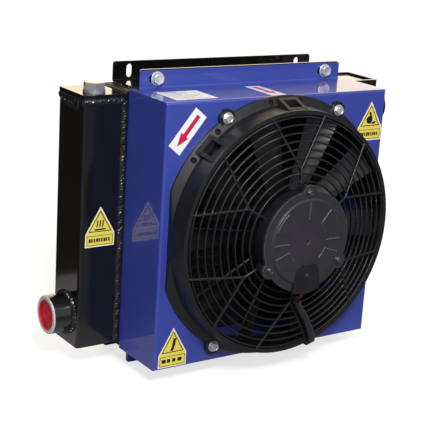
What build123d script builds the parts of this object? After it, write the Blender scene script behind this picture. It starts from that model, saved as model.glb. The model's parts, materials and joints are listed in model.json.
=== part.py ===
from build123d import *
from math import atan2, cos, degrees, pi, radians, sin
import os

# Hydraulic oil cooler: a bar-and-plate oil core between two welded tanks, with a sheet-metal
# shroud and a 12 inch electric fan that pulls air through the core.
# Millimetres. +Z is up, the fan faces -Y and the mounting slots are in the rear plane, at +Y.
# The origin is the bottom centre of the whole cooler.

# ---- Driving dimensions -------------------------------------------------------------------
shroud_width = 340.0
shroud_height = 340.0
shroud_depth = 88.0
sheet = 2.0  # shroud sheet metal
bend = 3.0  # outside radius of the shroud's front bends
fold = 2.0  # radius in the corner between the shroud and its upstands
core_depth = 66.5  # from the shroud's back edge to the mounting plane
fan_reach = 73.5  # from the shroud's face to the front of the motor
flange_height = 23.5  # the brackets' flanges above and below the shroud
upstand_height = 22.3  # the shroud's own upstands
flange_inset = 13.0  # from the shroud's sides to the ends of the upstands
flange_corner = 4.0
upstand_corner = 1.5

tank_width = 62.0
tank_wall = 4.0
tank_corner = 3.5
cap_corner = 1.0
tank_drop = 5.0  # tank top below the shroud's top
tank_rise = 9.0  # tank bottom above the shroud's bottom
cap_thickness = 5.0
cap_recess = 2.5  # the left tank's lower cap lies this far inside its shell
weld_proud = 1.0

bracket_sheet = 3.0
slot_x = 134.0
slot_z = 181.0  # above and below the fan axis
slot_width = 9.0
slot_length = 17.0
joint_bolt_x = 132.3
joint_bolt_z = 182.0

port_length = 28.0
port_radius = 25.0
port_bore = 38.952 / 2  # minor radius of a G 1 1/4 thread
port_chamfer = 1.5
port_z = 121.8  # ports above and below the fan axis
port_opening = 21.0  # radius of the tank's hole under the port

tube_count = 25
tube_height = 3.6
tube_sheet = 0.7
tube_side_bar = 4.0
core_plate = 4.0
end_bar = 8.0
fin_pitch = 8.0
fin_thickness = 0.3
fin_gap = 0.1
core_recess = 1.0  # core faces behind the tank faces

base_radius = 171.5  # fan housing's base flange
flat_half = 159.5  # its two flat sides
base_thickness = 3.0
skirt_radius = 161.0  # where the skirt stands on the sloping ring
skirt_level = 8.5
rim_radius = 158.8
rim_reach = 36.5
skirt_wall = 2.3
throat_radius = 153.5
throat_wall = 1.8
throat_depth = 12.0
ear_x = 86.0
ear_z = 148.0
ear_radius = 11.0
ear_thickness = 5.3
ear_washer_radius = 7.3
ear_recess = 0.3  # gap round the washer where it stands against the skirt
ring_count = 9
ring_pitch = 9.85
outer_ring_radius = 150.7
ring_width = 2.2
ring_depth = 4.0
dome_foot = 156.5  # radius where the guard starts to dome forward
dome_slope = 0.172  # how fast it does so towards the hub
spoke_count = 6
spoke_spread = 15.0  # degrees between a spoke's stem and each of its arms at the rim
spoke_width = 3.0
spoke_depth = 4.6
junction_radius = 86.6  # where a spoke's two arms meet
hub_radius = 62.5
hub_wall = 2.7
hub_seat = 65.0  # reach of the face that the motor bolts to
pocket_angles = (135.0, 90.0, -45.0, -90.0)
pocket_width = 19.0
pocket_frame = 5.0
sleeve_end = (45.2, -148.6)  # where the cable's sleeve enters the rim

cover_radius = 65.0
cover_screw_radius = 62.3
cover_ear = 10.5
cover_flange = 4.0
disc_radius = 54.5
motor_radius = 44.0
motor_wall = 1.8
shaft_radius = 4.0
shaft_play = 0.05

blade_count = 10
blade_start = 16.2  # degrees from straight up to the first blade
blade_tip = 151.5
blade_arc = 14.5  # degrees that a blade covers, seen along the axis
blade_thickness = 2.4
impeller_hub = 58.0

# ---- Derived places -----------------------------------------------------------------------
total_depth = fan_reach + shroud_depth + core_depth
total_height = shroud_height + 2 * flange_height
face_y = fan_reach - total_depth / 2  # the shroud's front face
joint_y = face_y + shroud_depth  # the shroud's back edge, where the core begins
mount_y = total_depth / 2
axis_z = total_height / 2
side_x = shroud_width / 2
tank_x = side_x + tank_width
tank_back = mount_y - weld_proud
tank_depth = tank_back - joint_y
tank_top = shroud_height / 2 - tank_drop
tank_bottom = -shroud_height / 2 + tank_rise
tank_y = joint_y + tank_depth / 2
core_half = shroud_height / 2 - bracket_sheet
stack_half = core_half - core_plate
fin_height = (2 * stack_half - tube_count * tube_height) / (tube_count + 1)
layer_pitch = fin_height + tube_height
core_front = joint_y + core_recess
core_back = tank_back - core_recess
flange_half = side_x - flange_inset


def facing(reach):
    """Plane square to the fan axis, reach in front of the shroud's face. Local x is X, local y is up."""
    return Plane(origin=(0, face_y - reach, axis_z), x_dir=(1, 0, 0), z_dir=(0, -1, 0))


def at(x, z, reach):
    """A point x to the right of the fan axis, z above it and reach in front of the shroud's face."""
    return Vector(x, face_y - reach, axis_z + z)


def around(angle, radius, reach):
    """A point on a circle about the fan axis."""
    return at(radius * cos(radians(angle)), radius * sin(radians(angle)), reach)


def outward(angle, radius, reach):
    """Plane that looks away from the fan axis. Local x runs round the fan, local y runs forward."""
    a = radians(angle)
    return Plane(around(angle, radius, reach), x_dir=(-sin(a), 0, cos(a)), z_dir=(cos(a), 0, sin(a)))


def radial(angle):
    """Plane through the fan axis. Local x runs outwards, local y runs forward."""
    a = radians(angle)
    return Plane(origin=(0, face_y, axis_z), x_dir=(cos(a), 0, sin(a)), z_dir=(sin(a), 0, -cos(a)))


# Profiles of turned pieces are drawn on this plane as (radius, reach) and turned about the spindle.
lathe = radial(0)
spindle = Axis((0, face_y, axis_z), (0, -1, 0))


def turned(*outline):
    """A piece turned about the fan axis from a closed outline of (radius, reach) points."""
    with BuildPart() as piece:
        with BuildSketch(lathe):
            with BuildLine():
                Polyline(*outline, close=True)
            make_face()
        revolve(axis=spindle)
    return piece


def washer(inner, outer, back, front):
    """A plain ring about the fan axis."""
    return turned((inner, back), (outer, back), (outer, front), (inner, front))


def save(piece, name):
    """Labels a finished piece and writes it."""
    piece.part.label = name
    export_step(piece.part, f"parts/{name}.step")


os.makedirs("parts", exist_ok=True)

# ---- Shroud: a box of bent sheet, open at the back, with the fan opening in its face -----------
joint_bolts = [(x * joint_bolt_x, z * joint_bolt_z) for x in (-1, 1) for z in (-1, 1)]
ears = [(x * ear_x, z * ear_z) for x in (-1, 1) for z in (-1, 1)]
fan_opening = 157.0
joint_slot_length = 20.0
joint_slot_shift = 2.0  # the bolts sit off the middle of their slots
m8_clearance = 4.5
m6_clearance = 3.3

with BuildPart() as shroud:
    with BuildSketch(facing(0)):
        Rectangle(shroud_width, shroud_height)
    extrude(amount=-shroud_depth)
    fillet(shroud.faces().sort_by(Axis.Y)[0].edges(), bend)
    with BuildSketch(facing(-sheet)):
        Rectangle(shroud_width - 2 * sheet, shroud_height - 2 * sheet)
    extrude(amount=-shroud_depth, mode=Mode.SUBTRACT)
    with BuildSketch(facing(sheet - shroud_depth)):
        Rectangle(2 * flange_half, shroud_height + 2 * upstand_height)
        Rectangle(shroud_width, shroud_height - 2 * sheet, mode=Mode.SUBTRACT)
    extrude(amount=-sheet)
    fillet(shroud.edges().filter_by(Axis.Y).group_by(Axis.Z)[-1], upstand_corner)
    fillet(shroud.edges().filter_by(Axis.Y).group_by(Axis.Z)[0], upstand_corner)
    folds = shroud.edges().filter_by(Axis.X).filter_by(lambda e: abs(e.center().Y - joint_y + sheet) < fold / 2)
    fillet(folds.filter_by(lambda e: abs(abs(e.center().Z - axis_z) - shroud_height / 2) < fold / 2), fold)
    with BuildSketch(facing(0)):
        Circle(fan_opening)
        with Locations(*ears):
            Circle(m6_clearance)
    extrude(amount=-2 * sheet, mode=Mode.SUBTRACT)
    with BuildSketch(facing(sheet - shroud_depth)):
        with Locations(*[(x - joint_slot_shift, z) for x, z in joint_bolts]):
            SlotOverall(joint_slot_length, 2 * m8_clearance)
    extrude(amount=-sheet, mode=Mode.SUBTRACT)
save(shroud, "shroud")

# ---- Brackets: channels welded along the core, bolted to the shroud, slotted at the back -------
bracket_bend = 4.0
bracket_height = flange_height + bracket_sheet
mounting_slots = [(x * slot_x, slot_z) for x in (-1, 1)]
bracket_joints = [(x * joint_bolt_x, joint_bolt_z) for x in (-1, 1)]

with BuildPart() as top_bracket:
    with BuildSketch(Plane.YZ.offset(-flange_half)):
        with Locations((joint_y + core_depth / 2, axis_z + core_half + bracket_height / 2)):
            channel = Rectangle(core_depth, bracket_height)
        fillet(channel.vertices().group_by(Axis.Y)[0], bracket_bend)
        with Locations((joint_y + core_depth / 2, axis_z + core_half + bracket_sheet + bracket_height / 2)):
            hollow = Rectangle(core_depth - 2 * bracket_sheet, bracket_height, mode=Mode.SUBTRACT)
    extrude(amount=2 * flange_half)
    fillet(top_bracket.edges().filter_by(Axis.Y).group_by(Axis.Z)[-1], flange_corner)
    with BuildSketch(Plane.XZ.offset(-mount_y)):
        with Locations(*[(x, axis_z + z) for x, z in mounting_slots]):
            SlotOverall(slot_length, slot_width, rotation=90)
    extrude(amount=2 * bracket_sheet, mode=Mode.SUBTRACT)
    with BuildSketch(Plane.XZ.offset(-joint_y)):
        with Locations(*[(x, axis_z + z) for x, z in bracket_joints]):
            Circle(m8_clearance)
    extrude(amount=-2 * bracket_sheet, mode=Mode.SUBTRACT)
save(top_bracket, "top_bracket")

with BuildPart() as bottom_bracket:
    mirror(top_bracket.part, about=Plane.XY.offset(axis_z))
save(bottom_bracket, "bottom_bracket")

# ---- Joint fasteners: four M8 bolts, washers and nuts that hold the shroud to the brackets -----
m8_hexagon = 6.5 / cos(radians(30))
m8_radius = 4.0
washer_front = face_y - joint_y + sheet  # reach of the shroud flange's front face
washer_radius = 9.0
washer_thickness = 1.6
bolt_head = 5.3
nut_height = 6.5
m8_length = 25.0


def foremost_edges(piece):
    """Edges of the faces that look straight forward and lie furthest forward."""
    return piece.faces().filter_by(Axis.Y).group_by(Axis.Y)[0].edges()


with BuildPart() as joint_washers:
    with BuildSketch(facing(washer_front)):
        with Locations(*joint_bolts):
            Circle(washer_radius)
    extrude(amount=washer_thickness)
    fillet(foremost_edges(joint_washers), 0.5)
    with BuildSketch(facing(washer_front)):
        with Locations(*joint_bolts):
            Circle(m8_radius + shaft_play)
    extrude(amount=washer_thickness, mode=Mode.SUBTRACT)
save(joint_washers, "joint_washers")

with BuildPart() as joint_bolt_set:
    with BuildSketch(facing(washer_front + washer_thickness)):
        with Locations(*joint_bolts):
            RegularPolygon(m8_hexagon, 6)
    extrude(amount=bolt_head)
    chamfer(foremost_edges(joint_bolt_set), 0.6)
    with BuildSketch(facing(washer_front + washer_thickness)):
        with Locations(*joint_bolts):
            Circle(m8_radius)
    extrude(amount=-m8_length)
save(joint_bolt_set, "joint_bolts")

with BuildPart() as joint_nuts:
    with BuildSketch(facing(washer_front - sheet - bracket_sheet)):
        with Locations(*joint_bolts):
            RegularPolygon(m8_hexagon, 6)
            Circle(m8_radius + shaft_play, mode=Mode.SUBTRACT)
    extrude(amount=-nut_height)
save(joint_nuts, "joint_nuts")

# ---- Core: oil tubes, turbulators, air fins, end bars and side plates --------------------------
tube_levels = [axis_z + (i - (tube_count - 1) / 2) * layer_pitch for i in range(tube_count)]
air_levels = [axis_z + (i - tube_count / 2) * layer_pitch for i in range(tube_count + 1)]
core_middle = (core_front + core_back) / 2
core_thick = core_back - core_front
passage = core_thick - 2 * tube_side_bar


def folded_strip(length, height):
    """Outline of a folded strip about the origin, whose folds touch neither face of its layer."""
    folds = 2 * round(length / fin_pitch)
    step = length / folds
    swing = height / 2 - fin_gap - fin_thickness / 2
    path = [(i * step - length / 2, -swing if i % 2 else swing) for i in range(folds + 1)]
    upper = [(u, v + fin_thickness / 2) for u, v in path]
    lower = [(u, v - fin_thickness / 2) for u, v in reversed(path)]
    return upper + lower


with BuildPart() as core_oil_tubes:
    with BuildSketch(Plane.YZ.offset(-side_x)):
        with Locations(*[(core_middle, z) for z in tube_levels]):
            Rectangle(core_thick, tube_height)
            Rectangle(passage, tube_height - 2 * tube_sheet, mode=Mode.SUBTRACT)
    extrude(amount=shroud_width)
save(core_oil_tubes, "core_oil_tubes")

with BuildPart() as turbulator:
    with BuildSketch(Plane.YZ.offset(1 - side_x)):
        with BuildLine():
            strip = folded_strip(passage - 2, tube_height - 2 * tube_sheet)
            Polyline(*[(core_middle + u, v) for u, v in strip], close=True)
        make_face()
    extrude(amount=shroud_width - 2)

with BuildPart() as turbulators:
    with Locations(*[(0, 0, z) for z in tube_levels]):
        add(turbulator.part)
save(turbulators, "turbulators")

with BuildPart() as fin_layer:
    with BuildSketch(Plane.XZ.offset(-core_front - 1)):
        with BuildLine():
            Polyline(*folded_strip(shroud_width - 2 * end_bar - 2, fin_height), close=True)
        make_face()
    extrude(amount=2 - core_thick)

with BuildPart() as air_fins:
    with Locations(*[(0, 0, z) for z in air_levels]):
        add(fin_layer.part)
save(air_fins, "air_fins")

with BuildPart() as core_end_bars:
    with BuildSketch(Plane.XZ.offset(-core_front)):
        with Locations(*[(x * (side_x - end_bar / 2), z) for x in (-1, 1) for z in air_levels]):
            Rectangle(end_bar, fin_height)
    extrude(amount=-core_thick)
save(core_end_bars, "core_end_bars")

with BuildPart() as core_top_plate:
    with BuildSketch(Plane.XY.offset(axis_z + stack_half)):
        with Locations((0, core_middle)):
            Rectangle(shroud_width, core_thick)
    extrude(amount=core_plate)
save(core_top_plate, "core_top_plate")

with BuildPart() as core_bottom_plate:
    mirror(core_top_plate.part, about=Plane.XY.offset(axis_z))
save(core_bottom_plate, "core_bottom_plate")

# ---- Tanks: folded shells, closed by welded end caps, one port each ----------------------------
vent_x = -209.5
vent_y = 64.5
vent_hole = 10.5
tank_middle = Plane.XY.offset(axis_z + (tank_top + tank_bottom) / 2)
shell_top = axis_z + tank_top - cap_thickness


def tank_outline(corner, grow=0.0):
    """The left tank seen from above, drawn in the current sketch and grown outwards by grow."""
    width = tank_width + grow
    with Locations((-side_x - width / 2, tank_y)):
        box = Rectangle(width, tank_depth + 2 * grow)
    fillet(box.vertices().group_by(Axis.X)[0], corner)


def tank_inside(shrink=0.0, mode=Mode.ADD):
    """The space inside the left tank seen from above, shrunk on its three walled sides."""
    width = tank_width - tank_wall - shrink
    with Locations((-side_x - width / 2, tank_y)):
        Rectangle(width, tank_depth - 2 * tank_wall - 2 * shrink, mode=mode)


def port_plane(side):
    """Plane of a tank's outer wall, looking outwards, with its origin on that tank's port axis."""
    return Plane(origin=(side * tank_x, tank_y, axis_z + side * port_z), x_dir=(0, side, 0), z_dir=(side, 0, 0))


def turned_over(source):
    """The right tank's copy of a left tank's piece: mirrored across and upside down."""
    with BuildPart() as copy:
        mirror(source.part, about=Plane.YZ)
        mirror(about=tank_middle, mode=Mode.REPLACE)
    return copy


def drilled(shell, side):
    """A tank's shell with the hole under its port."""
    with BuildPart() as tank:
        add(shell.part)
        with BuildSketch(port_plane(side)):
            Circle(port_opening)
        extrude(amount=-2 * tank_wall, mode=Mode.SUBTRACT)
    return tank


with BuildPart() as tank_shell:
    with BuildSketch(Plane.XY.offset(axis_z + tank_bottom)):
        tank_outline(tank_corner)
        tank_inside(mode=Mode.SUBTRACT)
    extrude(amount=shell_top - axis_z - tank_bottom)

left_tank = drilled(tank_shell, -1)
save(left_tank, "left_tank")

right_tank = drilled(turned_over(tank_shell), 1)
save(right_tank, "right_tank")

with BuildPart() as left_tank_caps:
    with BuildSketch(Plane.XY.offset(shell_top)):
        tank_outline(cap_corner)
    extrude(amount=cap_thickness)
    with BuildSketch(Plane.XY.offset(shell_top)):
        with Locations((vent_x, vent_y)):
            Circle(vent_hole)
    extrude(amount=cap_thickness, mode=Mode.SUBTRACT)
    with BuildSketch(Plane.XY.offset(axis_z + tank_bottom + cap_recess)):
        tank_inside()
    extrude(amount=cap_thickness)
save(left_tank_caps, "left_tank_caps")

right_tank_caps = turned_over(left_tank_caps)
save(right_tank_caps, "right_tank_caps")


def port(side):
    """A port boss, bored at the thread's minor diameter, on the left (-1) or right (1) tank."""
    with BuildPart() as boss:
        with BuildSketch(port_plane(side)):
            Circle(port_radius)
            Circle(port_bore, mode=Mode.SUBTRACT)
        extrude(amount=port_length)
        mouth = boss.edges().filter_by(GeomType.CIRCLE).group_by(Axis.X)[-1 if side > 0 else 0]
        chamfer(mouth, port_chamfer)
    return boss


left_port = port(-1)
save(left_port, "left_port")

right_port = port(1)
save(right_port, "right_port")

# The transit plug is a thin cup pushed into the left port, with a ridge round its dished face.
plug_radius = 19.3
plug_taper = 0.4
plug_wall = 1.6
plug_depth = 14.0
plug_dish = 2.0
ridge_radius = 9.0
ridge_sink = 1.0
plug_plane = Plane(origin=(-tank_x - port_length, tank_y, axis_z - port_z), x_dir=(0, 0, 1), z_dir=(0, 1, 0))

with BuildPart() as port_plug:
    with BuildSketch(plug_plane):
        with BuildLine():
            Polyline(
                (0, plug_dish),
                (ridge_radius - plug_wall, plug_dish),
                (ridge_radius - plug_wall, ridge_sink),
                (ridge_radius, ridge_sink),
                (ridge_radius, plug_dish),
                (plug_radius - plug_wall, plug_dish),
                (plug_radius - plug_wall, 0),
                (plug_radius, 0),
                (plug_radius - plug_taper, plug_depth),
                (plug_radius - plug_taper - plug_wall, plug_depth),
                (plug_radius - plug_taper - plug_wall, plug_dish + plug_wall),
                (0, plug_dish + plug_wall),
                close=True,
            )
        make_face()
    revolve(axis=Axis(plug_plane.origin, (-1, 0, 0)))
save(port_plug, "port_plug")

# ---- Screwed hex plugs: a vent in the left tank's top cap, a drain in the right tank's bottom cap
seal_thickness = 2.0
seal_radius = 14.0
collar_thickness = 2.5
collar_radius = 13.6
hex_height = 9.0
hex_corner = 12.0 / cos(radians(30))
vent_seat = axis_z + tank_top

with BuildPart() as vent_seal:
    with BuildSketch(Plane.XY.offset(vent_seat)):
        with Locations((vent_x, vent_y)):
            Circle(seal_radius)
            Circle(vent_hole, mode=Mode.SUBTRACT)
    extrude(amount=seal_thickness)
save(vent_seal, "vent_seal")

with BuildPart() as vent_plug:
    with BuildSketch(Plane.XY.offset(vent_seat + seal_thickness + collar_thickness)):
        with Locations((vent_x, vent_y)):
            RegularPolygon(hex_corner, 6, rotation=12)
    extrude(amount=hex_height)
    chamfer(vent_plug.faces().sort_by(Axis.Z)[-1].edges(), 0.9)
    with BuildSketch(Plane.XY.offset(vent_seat + seal_thickness)):
        with Locations((vent_x, vent_y)):
            Circle(collar_radius)
    extrude(amount=collar_thickness)
    with BuildSketch(Plane.XY.offset(vent_seat + seal_thickness)):
        with Locations((vent_x, vent_y)):
            Circle(vent_hole - 0.1)
    extrude(amount=-seal_thickness - 2 * cap_thickness)
save(vent_plug, "vent_plug")

drain_seal = turned_over(vent_seal)
save(drain_seal, "drain_seal")

drain_plug = turned_over(vent_plug)
save(drain_plug, "drain_plug")

# ---- Weld beads: along the tank seams, under the caps and round the ports ----------------------
seam_width = 7.0
cap_bead = 8.0
root_bead = 3.0
port_bead = 5.0
cap_bead_bottom = shell_top - cap_bead

with BuildPart() as left_beads:
    with BuildSketch(Plane.XY.offset(axis_z + tank_bottom)):
        with Locations(*[(-side_x - 1 - seam_width / 2, y) for y in (joint_y, tank_back)]):
            Ellipse(seam_width / 2, weld_proud)
        with Locations((-side_x, tank_y)):
            Rectangle(2 * tank_width, tank_depth, mode=Mode.SUBTRACT)
    extrude(amount=cap_bead_bottom - axis_z - tank_bottom)
    with BuildSketch(Plane.XY.offset(cap_bead_bottom)):
        tank_outline(tank_corner + weld_proud, weld_proud)
        with Locations((-side_x, tank_y)):
            Rectangle(2 * tank_width, tank_depth, mode=Mode.SUBTRACT)
    extrude(amount=cap_bead)
    with BuildSketch(Plane.XY.offset(axis_z + tank_bottom)):
        tank_inside()
        tank_inside(root_bead, mode=Mode.SUBTRACT)
    extrude(amount=cap_recess)

with BuildPart() as port_beads:
    with Locations(port_plane(-1).location, port_plane(1).location):
        Cone(port_radius + port_bead, port_radius + 1, port_bead, align=(Align.CENTER, Align.CENTER, Align.MIN))
        Cylinder(port_radius, port_bead, align=(Align.CENTER, Align.CENTER, Align.MIN), mode=Mode.SUBTRACT)

with BuildPart() as weld_beads:
    add(left_beads.part)
    add(turned_over(left_beads).part)
    add(port_beads.part)
save(weld_beads, "weld_beads")

# ---- Fan housing: base flange, skirt, throat, guard rings, spokes and motor hub, one moulding ---
ear_reach_in = 30.0
dimple_bore = 3.6
dimple_circle = 165.5
dimple_offset = 8.0  # degrees from a pocket to the round dimples beside it
pocket_height = 16.0
pocket_level = 20.0
frame_back = 4.0
frame_front = 33.0
frame_inner = 158.0
frame_outer = 169.0
outlet_width = 14.0
outlet_height = 17.0
outlet_level = 29.5
outlet_outer = 162.5
outlet_angle = degrees(atan2(sleeve_end[1], sleeve_end[0]))
sleeve_radius = 4.5
boss_radius = 7.5
boss_depth = 14.0
cover_screw_bore = 2.1
seat_thickness = 3.0
seat_inner = 45.0
hub_back = 46.0
cover_screws = [(cover_screw_radius * cos(a), cover_screw_radius * sin(a)) for a in (pi / 2, pi * 7 / 6, pi * 11 / 6)]
ear_places = [Location((x, z, 0), (0, 0, degrees(atan2(z, x)))) for x, z in ears]
dimple_angles = [radians(a + side * dimple_offset) for a in pocket_angles for side in (-1, 1)]
dimple_places = [(dimple_circle * cos(a), dimple_circle * sin(a)) for a in dimple_angles]
ring_radii = [outer_ring_radius - k * ring_pitch for k in range(ring_count)]


def dome(radius):
    """How far the middle of the guard reaches forward at a radius."""
    return rim_reach - ring_depth / 2 + dome_slope * (dome_foot - radius)


def flat_sided(inset, *outline):
    """A form turned about the fan axis, with the housing's two flat sides cut inset inside its surface."""
    with BuildPart() as form:
        add(turned(*outline).part)
        with BuildSketch(facing(0)):
            Rectangle(2 * (flat_half - inset), 2 * base_radius)
        extrude(amount=rim_reach, mode=Mode.INTERSECT)
    return form


# The sloping ring and the skirt that stands on it, and the hollow inside them.
housing_form = flat_sided(
    0,
    (0, 0),
    (base_radius, 0),
    (base_radius, base_thickness),
    (skirt_radius, skirt_level),
    (rim_radius, rim_reach),
    (0, rim_reach),
)
housing_hollow = flat_sided(
    skirt_wall,
    (0, 0),
    (skirt_radius - skirt_wall, 0),
    (skirt_radius - skirt_wall, skirt_level),
    (rim_radius - skirt_wall, rim_reach - skirt_wall),
    (0, rim_reach - skirt_wall),
)


def looking(start, end):
    """Plane at start that looks towards end, with local x square to the fan axis."""
    way = (end - start).normalized()
    return Plane(start, x_dir=way.cross(Vector(0, 1, 0)), z_dir=way)


spoke_angles = [90 + 360 / spoke_count * k for k in range(spoke_count)]
junctions = [around(a, junction_radius, dome(junction_radius)) for a in spoke_angles]
arm_planes = []
for angle, junction in zip(spoke_angles, junctions):
    for spread in (-spoke_spread, spoke_spread):
        rim_end = around(angle + spread, throat_radius + throat_wall / 2, dome(throat_radius))
        arm_planes.append(looking(rim_end, junction))
arm_length = (arm_planes[0].origin - junctions[0]).length
stem_ends = [around(a, hub_radius - hub_wall / 2, dome(hub_radius)) for a in spoke_angles]
stem_planes = [looking(junction, end) for junction, end in zip(junctions, stem_ends)]
stem_length = (junctions[0] - stem_ends[0]).length

with BuildPart() as fan_housing:
    with BuildSketch(facing(0)):
        Circle(base_radius)
        Rectangle(2 * flat_half, 2 * base_radius, mode=Mode.INTERSECT)
    extrude(amount=base_thickness)
    with BuildSketch(facing(0)):
        with Locations(*ear_places):
            Circle(ear_radius)
            Rectangle(ear_reach_in, 2 * ear_radius, align=(Align.MAX, Align.CENTER))
    extrude(amount=ear_thickness)
    add(housing_form.part)
    with BuildSketch(facing(base_thickness)):
        with Locations(*dimple_places):
            Circle(dimple_bore)
    extrude(amount=skirt_level, mode=Mode.SUBTRACT)
    with BuildSketch(*[radial(a) for a in pocket_angles]):
        with BuildLine():
            Polyline(
                (frame_inner, frame_back),
                (frame_outer, frame_back),
                (frame_outer, skirt_level),
                (rim_radius + 0.5, frame_front),
                (frame_inner, frame_front),
                close=True,
            )
        make_face()
    extrude(amount=pocket_width / 2 + pocket_frame, both=True)
    with BuildSketch(outward(outlet_angle, frame_inner, outlet_level)):
        Rectangle(outlet_width, outlet_height)
    extrude(amount=outlet_outer - frame_inner)
    add(housing_hollow.part, mode=Mode.SUBTRACT)
    with BuildSketch(*[outward(a, frame_inner - skirt_wall, pocket_level) for a in pocket_angles]):
        Rectangle(pocket_width, pocket_height)
    extrude(amount=frame_outer - frame_inner + 2 * skirt_wall, mode=Mode.SUBTRACT)
    with BuildSketch(facing(-throat_depth)):
        Circle(throat_radius + throat_wall)
    extrude(amount=throat_depth + rim_reach - skirt_wall / 2)
    with BuildSketch(facing(-throat_depth)):
        Circle(throat_radius)
    extrude(amount=throat_depth + fan_reach, mode=Mode.SUBTRACT)
    with BuildSketch(lathe):
        with Locations(*[(r, dome(r)) for r in ring_radii]):
            RectangleRounded(ring_width, ring_depth, ring_width * 0.45)
    revolve(axis=spindle)
    with BuildSketch(*arm_planes):
        RectangleRounded(spoke_width, spoke_depth, spoke_width * 0.4)
    extrude(amount=arm_length)
    with BuildSketch(facing(outlet_level + outlet_height)):
        with Locations(sleeve_end):
            Circle(sleeve_radius + 0.2)
    extrude(amount=-outlet_height - 4, mode=Mode.SUBTRACT)
    with BuildSketch(*stem_planes):
        RectangleRounded(spoke_width, spoke_depth, spoke_width * 0.4)
    extrude(amount=stem_length)
    add(turned(
        (hub_radius, hub_back),
        (hub_radius, hub_seat),
        (seat_inner, hub_seat),
        (seat_inner, hub_seat - seat_thickness),
        (hub_radius - hub_wall, hub_seat - seat_thickness),
        (hub_radius - hub_wall, hub_back),
    ).part)
    with BuildSketch(facing(hub_seat)):
        with Locations(*cover_screws):
            Circle(boss_radius)
    extrude(amount=-boss_depth)
    with BuildSketch(facing(hub_seat)):
        with Locations(*cover_screws):
            Circle(cover_screw_bore)
    extrude(amount=2 - boss_depth, mode=Mode.SUBTRACT)
    with BuildSketch(facing(0)):
        with Locations(*ears):
            Circle(m6_clearance)
    extrude(amount=ear_thickness, mode=Mode.SUBTRACT)
    with BuildSketch(facing(ear_thickness)):
        with Locations(*ears):
            Circle(ear_washer_radius + ear_recess)
    extrude(amount=pocket_level, mode=Mode.SUBTRACT)
save(fan_housing, "fan_housing")

# ---- Fan screws: four M6 screws, washers and nuts at the housing's ears -------------------------
m6_radius = 3.0
m6_hexagon = 5.0 / cos(radians(30))
m6_head = 4.2
m6_length = 20.0

with BuildPart() as fan_washers:
    with BuildSketch(facing(ear_thickness)):
        with Locations(*ears):
            Circle(ear_washer_radius)
    extrude(amount=washer_thickness)
    fillet(foremost_edges(fan_washers), 0.5)
    with BuildSketch(facing(ear_thickness)):
        with Locations(*ears):
            Circle(m6_radius + shaft_play)
    extrude(amount=washer_thickness, mode=Mode.SUBTRACT)
save(fan_washers, "fan_washers")

with BuildPart() as fan_screws:
    with BuildSketch(facing(ear_thickness + washer_thickness)):
        with Locations(*ears):
            RegularPolygon(m6_hexagon, 6)
    extrude(amount=m6_head)
    chamfer(foremost_edges(fan_screws), 0.5)
    with BuildSketch(facing(ear_thickness + washer_thickness)):
        with Locations(*ears):
            Circle(m6_radius)
    extrude(amount=-m6_length)
save(fan_screws, "fan_screws")

with BuildPart() as fan_nuts:
    with BuildSketch(facing(-sheet)):
        with Locations(*ears):
            RegularPolygon(m6_hexagon, 6)
            Circle(m6_radius + shaft_play, mode=Mode.SUBTRACT)
    extrude(amount=-m6_head)
save(fan_nuts, "fan_nuts")

# ---- Motor cover: flange with three ears, a raised disc with pads and ribs, and a bearing boss --
disc_front = 72.5
disc_back = 70.0
cavity_radius = 41.0
bearing_boss = 12.0
bearing_radius = 8.0
boss_back = 61.8
bearing_front = 69.5
relief = 0.9
relief_inner = 29.0
relief_outer = 51.0
rib_width = 1.6
dimple_radius = 3.0
pad_angles = (35.0, 145.0, 215.0, 325.0)
rib_angles = (0.0, 90.0, 180.0)
pad_arc = 30.0
m5_clearance = 2.7

with BuildPart() as motor_cover:
    add(turned(
        (0, disc_front),
        (disc_radius, disc_front),
        (disc_radius, disc_back),
        (cover_radius, disc_back),
        (cover_radius, disc_back - cover_flange),
        (cavity_radius, disc_back - cover_flange),
        (cavity_radius, disc_back),
        (bearing_boss, disc_back),
        (bearing_boss, boss_back),
        (bearing_radius, boss_back),
        (bearing_radius, bearing_front),
        (0, bearing_front),
    ).part)
    fillet(foremost_edges(motor_cover), 1.4)
    with BuildSketch(facing(disc_back - cover_flange)):
        with Locations(*cover_screws):
            Circle(cover_ear)
    extrude(amount=cover_flange)
    with BuildSketch(facing(disc_front)):
        for angle in pad_angles:
            corners = [radians(angle + side * pad_arc / 2) for side in (-1, 1)]
            Polygon((0, 0), *[(disc_radius * 1.1 * cos(a), disc_radius * 1.1 * sin(a)) for a in corners], align=None)
        Circle(relief_outer, mode=Mode.INTERSECT)
        Circle(relief_inner, mode=Mode.SUBTRACT)
        with Locations(*[Location((0, 0, 0), (0, 0, a)) for a in rib_angles]):
            with Locations(((relief_inner + relief_outer) / 2, 0)):
                Rectangle(relief_outer - relief_inner, rib_width)
    extrude(amount=relief)
    with BuildSketch(facing(disc_front)):
        Circle(dimple_radius)
    extrude(amount=-2 * relief, mode=Mode.SUBTRACT)
    with BuildSketch(facing(disc_back)):
        with Locations(*cover_screws):
            Circle(m5_clearance)
    extrude(amount=-cover_flange, mode=Mode.SUBTRACT)
save(motor_cover, "motor_cover")

motor_gasket = turned(
    (seat_inner, hub_seat),
    (hub_radius, hub_seat),
    (hub_radius, disc_back - cover_flange),
    (seat_inner, disc_back - cover_flange),
)
with BuildPart() as cover_gasket:
    add(motor_gasket.part)
    with BuildSketch(facing(hub_seat)):
        with Locations(*cover_screws):
            Circle(m5_clearance)
    extrude(amount=disc_back, mode=Mode.SUBTRACT)
save(cover_gasket, "cover_gasket")

# Three flanged screws with a socket hold the cover and the motor to the housing's hub.
m5_radius = 2.0
screw_flange = 5.6
screw_dome = 4.2
flange_rise = 1.0
dome_rise = 2.2
socket_radius = 1.9
m5_length = 12.0

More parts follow.
